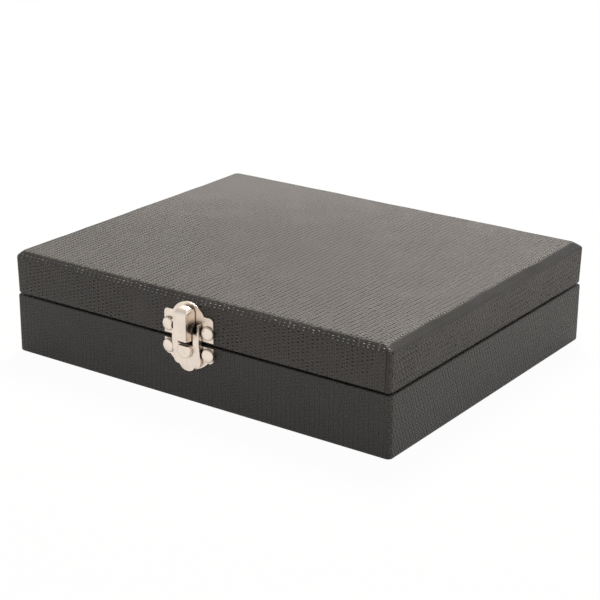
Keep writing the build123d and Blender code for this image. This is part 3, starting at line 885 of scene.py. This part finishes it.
for name in ("latch_lower_plate", "latch_upper_plate", "latch_lever"):
    round_edges(name, 0.16 * mm, 3)
for name in hinge_metal:
    round_edges(name, 0.08 * mm, 2)

# %% [markdown]
# ## Nail heads
#
# Small round-headed nails hold the plates and the hinges. They repeat, so one tree makes them:
# a ball flattened to the height of the head and nearly flat below, with its shank, set on every
# point of a small mesh and turned a little at random, as hand-driven nails are.

# %% Helpers for Geometry Nodes
def new_tree(name, **inputs):
    """A Geometry Nodes tree with named inputs, what comes in, and the inputs as fields."""
    tree = bpy.data.node_groups.new(name, "GeometryNodeTree")
    tree.interface.new_socket("Geometry", in_out="INPUT", socket_type="NodeSocketGeometry")
    kinds = {float: "NodeSocketFloat", int: "NodeSocketInt", bpy.types.Material: "NodeSocketMaterial",
             bpy.types.Object: "NodeSocketObject"}
    for label, value in inputs.items():
        kind = next(k for k in kinds if isinstance(value, k))
        socket = tree.interface.new_socket(label, in_out="INPUT", socket_type=kinds[kind])
        if kind in (float, int):
            socket.default_value = value
    tree.interface.new_socket("Geometry", in_out="OUTPUT", socket_type="NodeSocketGeometry")
    start = tree.nodes.new("NodeGroupInput")
    return tree, start.outputs[0], {label: Field(tree, start.outputs[label]) for label in inputs}


def finish_tree(tree, geometry, material):
    """Realize the instances, set the material and end the tree."""
    real = add_node(tree, "GeometryNodeRealizeInstances", {0: geometry})
    coated = add_node(tree, "GeometryNodeSetMaterial", {0: real, "Material": material})
    add_node(tree, "NodeGroupOutput", {0: coated})


def evaluated(piece):
    """A piece as its modifiers leave it."""
    return piece.evaluated_get(bpy.context.evaluated_depsgraph_get())


def settled(piece):
    """The plain mesh of a piece as its modifiers leave it."""
    return bpy.data.meshes.new_from_object(evaluated(piece))


def run_tree(tree, name, mesh, **values):
    """Run a tree on a mesh with its inputs set, and keep the result as a plain piece."""
    holder = add_object(name + "_maker", mesh)
    modifier = holder.modifiers.new("maker", "NODES")
    modifier.node_group = tree
    for item in tree.interface.items_tree:
        if item.in_out == "INPUT" and item.name in values:
            modifier[item.identifier] = values[item.name]
    made = settled(holder)
    made.name = name
    bpy.data.objects.remove(holder)
    piece = add_object(name, made)
    print(name, len(made.polygons), "faces")
    return piece


# %% The tree for a nail
big = {"head_radius": 3.05 * mm, "head_height": 1.8 * mm, "roundness": 0.42,
       "shank_radius": 0.7 * mm, "shank_length": 6.1 * mm}
small = {"head_radius": 1.7 * mm, "head_height": 0.9 * mm, "roundness": 0.7,
         "shank_radius": 0.6 * mm, "shank_length": 6.1 * mm}
head_underside = 0.04
shank_tip = 0.2


def nail_tree():
    tree, points, given = new_tree("round_headed_nails", **big, turned_back=0, finish=latch_nickel)
    ball = add_node(tree, "GeometryNodeMeshUVSphere", {"Segments": 28, "Rings": 14,
                                                       "Radius": given["head_radius"]})
    x, y, high = split(tree, add_node(tree, "GeometryNodeInputPosition"))
    share = high.math("MAXIMUM", 0.0) / given["head_radius"]
    top = share ** given["roundness"] * given["head_height"]
    bottom = high.math("MINIMUM", 0.0) * head_underside
    moved = add_node(tree, "ShaderNodeCombineXYZ", {0: x, 1: y, 2: top + bottom})
    head = add_node(tree, "GeometryNodeSetPosition", {"Geometry": ball, "Position": moved})
    smooth = add_node(tree, "GeometryNodeSetShadeSmooth", {0: head})
    shank = add_node(tree, "GeometryNodeMeshCone", {
        "Vertices": 10, "Radius Top": given["shank_radius"] * shank_tip,
        "Radius Bottom": given["shank_radius"], "Depth": given["shank_length"]})
    hung = add_node(tree, "GeometryNodeTransform", {"Geometry": shank, "Rotation": (math.pi, 0, 0)})
    nail = add_node(tree, "GeometryNodeJoinGeometry")
    feed(tree, nail.inputs[0], hung)
    feed(tree, nail.inputs[0], smooth)
    sway = add_node(tree, "FunctionNodeRandomValue", {
        0: (-0.05, -0.05, -3.0), 1: (0.05, 0.05, 3.0), "Seed": 4}, data_type="FLOAT_VECTOR")
    facing = add_node(tree, "ShaderNodeCombineXYZ", {
        0: given["turned_back"] * (-math.pi) + math.pi / 2})
    rolled = add_node(tree, "FunctionNodeRotateEuler", {0: sway, 1: facing})
    placed = add_node(tree, "GeometryNodeInstanceOnPoints", {
        "Points": points, "Instance": nail, "Rotation": rolled})
    finish_tree(tree, placed, given["finish"])
    return tree


# %% Nails with Geometry Nodes
def places(piece):
    """Where a piece's vertices are."""
    return np.array([v.co for v in piece.data.vertices])


def nail_piece(tree, node, body, sizes, back, finish):
    """Nails in place of a node's, at the middles of its separate heads."""
    low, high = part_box(node)
    radius = sizes["head_radius"]
    depth_of_seat = high.y - sizes["head_height"] if back else low.y + sizes["head_height"]
    middles = []
    for x in sorted(places(nodes[node])[:, 0]):
        if not middles or x > middles[-1] + radius * 1.5:
            middles.append(x + radius)
    height = (low.z + high.z) / 2
    mesh = bpy.data.meshes.new(node + "_points")
    mesh.from_pydata([(x, depth_of_seat, height) for x in middles], [], [])
    piece = run_tree(tree, node + "_heads", mesh, turned_back=int(back), finish=finish, **sizes)
    stand_in(piece, node, body)


nails = nail_tree()
nail_piece(nails, "latch_upper_nails", "lid", big, False, latch_nickel)
nail_piece(nails, "latch_lower_nails", "base", big, False, latch_nickel)
nail_piece(nails, "hinge_lid_nails", "lid", small, True, hinge_nickel)
nail_piece(nails, "hinge_base_nails", "base", small, True, hinge_nickel)

# %% [markdown]
# ## Stuffed cushions
#
# Every compartment holds a small foam pad in velvet, puffed up in the middle and drawn in where
# the cloth is glued under its edge. A bevelled block would look moulded. Blowing a closed skin up
# with the cloth simulation gives the real thing's tight crown and soft creases. The simulation
# was made for clothes, so the pad is blown up at ten times its size and then shrunk. One pad is
# simulated, and the twenty are copies of it, each squeezed a little.

# %% The block that is blown up
pad_scale = 10.0


def cushion_block(width, depth, height, corner, dome):
    """A closed block with rounded corners and a domed top, at the origin, as a bmesh."""
    bm = bmesh.new()
    # each level's height and how far it is drawn in, as shares of the block's height
    levels = [(0.0, 0.10), (0.12, 0.0), (0.5, -0.02), (0.82, 0.03), (1.0, 0.14)]
    rings = []
    for share, inset in levels:
        ring = []
        pull = inset * height
        for cx, cy, first in ((1, -1, -90), (1, 1, 0), (-1, 1, 90), (-1, -1, 180)):
            for turn in np.linspace(0, 90, 6):
                angle = math.radians(first + turn)
                x = cx * (width / 2 - corner) + (corner - pull) * math.cos(angle)
                y = cy * (depth / 2 - corner) + (corner - pull) * math.sin(angle)
                ring.append(bm.verts.new((x, y, share * height)))
        rings.append(ring)
    rings.append([bm.verts.new((v.co.x * 0.5, v.co.y * 0.5, height + dome)) for v in rings[-1]])
    for lower, upper in zip(rings, rings[1:]):
        for k in range(len(lower)):
            nxt = (k + 1) % len(lower)
            bm.faces.new((lower[k], lower[nxt], upper[nxt], upper[k]))
    bm.faces.new(rings[0][::-1])
    bm.faces.new(rings[-1])
    return bm


# %% Cloth simulation of a cushion
def blown_up(name, bm, voxel, pressure, cap, frames):
    """Remesh a closed block, blow it up as cloth, and keep its shape, moved by at most cap."""
    mesh = bpy.data.meshes.new(name)
    bm.to_mesh(mesh)
    bm.free()
    piece = add_object(name, mesh)
    remesh = piece.modifiers.new("remesh", "REMESH")
    remesh.mode = "VOXEL"
    remesh.voxel_size = voxel
    piece.data = settled(piece)
    piece.modifiers.clear()
    rest = places(piece)
    kept = rest
    cloth = piece.modifiers.new("cloth", "CLOTH")
    cloth.settings.effector_weights.gravity = 0
    cloth.settings.use_pressure = True
    cloth.settings.uniform_pressure_force = pressure
    cloth.settings.quality = 6
    cloth.point_cache.frame_end = frames
    for step in range(1, frames + 1):
        scene.frame_set(step)
    moved = places(evaluated(piece))
    piece.modifiers.clear()
    scene.frame_set(1)
    step_vectors = moved - rest
    lengths = np.linalg.norm(step_vectors, axis=1, keepdims=True)
    kept = rest + step_vectors * np.minimum(1, cap / np.maximum(lengths, 1e-9))
    print(name, "swelled by up to", round(float(lengths.max()), 4), "m at its simulated size")
    piece.data.vertices.foreach_set("co", kept.astype(np.float32).ravel())
    return piece


def fitted(piece, low, high):
    """Shrink a simulated piece to its real size and keep it inside its space."""
    points = places(piece) / pad_scale
    size = points.max(0) - points.min(0)
    points = (points - points.min(0)) / size * np.subtract(high, low) + low
    piece.data.vertices.foreach_set("co", points.astype(np.float32).ravel())
    piece.data.update()
    piece.data.shade_smooth()
    smooth = piece.modifiers.new("smooth", "SUBSURF")
    smooth.levels = smooth.render_levels = 1
    piece.data = settled(piece)
    piece.modifiers.clear()
    return piece


# %% [markdown]
# ## Velvet
#
# Velvet is a short, upright pile, dark when one looks down into it and pale at a slant. Hair
# would be far too heavy, and the shader's sheen does the same. Noise finer than a millimetre
# stands for the tufts, and a broad one for where a hand has brushed the pile.

# %% Velvet
def velvet(name, colour, light):
    material, tree, shader = new_material(name)
    place = add_node(tree, "ShaderNodeTexCoord").outputs["Object"]
    pile = noise(tree, place, 5200.0, 2.0, 0.6)
    brushed = noise(tree, place, 90.0, 3.0, 0.6)
    base = tint(tree, pile * 0.5 + brushed.between(0.3, 0.7) * 0.5, rgba(*colour), rgba(*light))
    fill(tree, shader, {
        "Base Color": base, "Roughness": pile * 0.1 + 0.85, "Specular IOR Level": 0.15,
        "Sheen Weight": 0.7, "Sheen Roughness": 0.35, "Sheen Tint": rgba(0.45, 0.44, 0.46),
        "Normal": bumped(tree, pile + brushed * 0.6, 0.6, 0.08 * mm)})
    return material


lining_velvet = velvet("lining_velvet", (0.024, 0.023, 0.025), (0.055, 0.053, 0.056))
pad_velvet = velvet("pad_velvet", (0.034, 0.033, 0.036), (0.080, 0.077, 0.082))
dividers = [n for n in nodes if "divider" in n]
dress(lining_velvet, "base_lining", "lid_lining", *dividers)

# %% [markdown]
# ## The twenty cushions
#
# The compartments stand on a regular grid, so Geometry Nodes lay the cushions out: a grid of
# points, one cushion on each, some given half a turn, each squeezed a little at random.

# %% Compartment cushions with Geometry Nodes
pads_low, pads_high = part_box("compartment_pads")
pad_columns, pad_rows = 5, 4
pitch_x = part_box("cross_divider_2")[0].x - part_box("cross_divider_1")[0].x
pitch_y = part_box("long_divider_2")[0].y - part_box("long_divider_1")[0].y
pad_width = (pads_high.x - pads_low.x) - (pad_columns - 1) * pitch_x
pad_depth = (pads_high.y - pads_low.y) - (pad_rows - 1) * pitch_y
pad_height = pads_high.z - pads_low.z
print("one pad", [round(v / mm, 2) for v in (pad_width, pad_depth, pad_height)], "mm")

# before it is blown up, a pad is this share of its width, depth and height
pad_start = (0.94, 0.94, 0.62)
pad_size = np.array((pad_width, pad_depth, pad_height)) * pad_scale * pad_start
block = cushion_block(*pad_size, corner=0.035, dome=0.010)
pad = blown_up("pad", block, voxel=0.0115, pressure=4.0, cap=0.018, frames=20)
pad = fitted(pad, (-pad_width / 2, -pad_depth / 2, 0), (pad_width / 2, pad_depth / 2, pad_height))
layout = {"columns": pad_columns, "rows": pad_rows, "pitch_x": pitch_x, "pitch_y": pitch_y,
          "seed": 3, "cushion": pad, "finish": pad_velvet}


def pad_tree():
    tree, _, given = new_tree("cushions_on_a_grid", **layout)
    grid = add_node(tree, "GeometryNodeMeshGrid", {
        "Size X": (given["columns"] - 1.0) * given["pitch_x"], "Vertices X": given["columns"],
        "Size Y": (given["rows"] - 1.0) * given["pitch_y"], "Vertices Y": given["rows"]})
    source = add_node(tree, "GeometryNodeObjectInfo", {"Object": given["cushion"]})
    half_turns = add_node(tree, "FunctionNodeRandomValue", {4: 0, 5: 1, "Seed": given["seed"]},
                          data_type="INT")
    turn = add_node(tree, "ShaderNodeCombineXYZ", {2: Field(tree, half_turns.outputs[2]) * math.pi})
    sizes = add_node(tree, "FunctionNodeRandomValue", {
        0: (0.975, 0.975, 0.93), 1: (0.995, 0.995, 1.0), "Seed": 8}, data_type="FLOAT_VECTOR")
    placed = add_node(tree, "GeometryNodeInstanceOnPoints", {
        "Points": grid, "Instance": source.outputs["Geometry"], "Rotation": turn, "Scale": sizes})
    finish_tree(tree, placed, given["finish"])
    return tree


empty_mesh = bpy.data.meshes.new("no_points")
cushions = run_tree(pad_tree(), "compartment_cushions", empty_mesh, **layout)
centre = ((pads_low.x + pads_high.x) / 2, (pads_low.y + pads_high.y) / 2, pads_low.z)
cushions.data.transform(Matrix.Translation(centre))
bpy.data.objects.remove(pad)
stand_in(cushions, "compartment_pads", "base")

# %% [markdown]
# ## The pad in the lid
#
# A wide, thin pad is glued under the lid so that it presses lightly on what lies below.

# %% Lid cushion
low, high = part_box("lid_pad")
lid_pad_start = (0.985, 0.985, 0.6)
block = cushion_block(*(np.array(high - low) * pad_scale * lid_pad_start), corner=0.05, dome=0.008)
lid_cushion = blown_up("lid_cushion", block, voxel=0.017, pressure=3.0, cap=0.012, frames=16)
lid_cushion = fitted(lid_cushion, (low.x, -high.y, -high.z), (high.x, -low.y, -low.z))
lid_cushion.data.transform(Matrix.Rotation(math.pi, 4, "X"))
lid_cushion.data.materials.append(pad_velvet)
stand_in(lid_cushion, "lid_pad", "lid")

# %% [markdown]
# ## Board and paper
#
# Bare fibreboard is hidden nearly everywhere. The base's floor board shows in the slits round
# the cushions, so such a board is bought with a black face, and flocked paper lies under it all.

# %% Board and paper materials
def speckled(name, dark, light, scale, roughness):
    material, tree, shader = new_material(name)
    place = add_node(tree, "ShaderNodeTexCoord").outputs["Object"]
    specks = noise(tree, place, scale, 4.0, 0.7)
    clouds = noise(tree, place, scale / 40, 2.0, 0.5)
    tone = tint(tree, specks * 0.7 + clouds * 0.3, rgba(*dark), rgba(*light))
    fill(tree, shader, {"Base Color": tone, "Roughness": specks * 0.1 + roughness,
                        "Normal": bumped(tree, specks, 0.5, 0.05 * mm)})
    return material


fibreboard = speckled("fibreboard", (0.26, 0.16, 0.09), (0.52, 0.38, 0.24), 2600.0, 0.8)
flocked = speckled("flocked_paper", (0.016, 0.016, 0.016), (0.045, 0.045, 0.046), 4200.0, 0.88)
blackboard = speckled("black_faced_board", (0.012, 0.012, 0.012), (0.030, 0.029, 0.028), 2600.0, 0.8)
dress(fibreboard, *[n for n in nodes if n.endswith("_board") and n != "base_floor_board"])
dress(blackboard, "base_floor_board")
dress(flocked, "bottom_sheet")
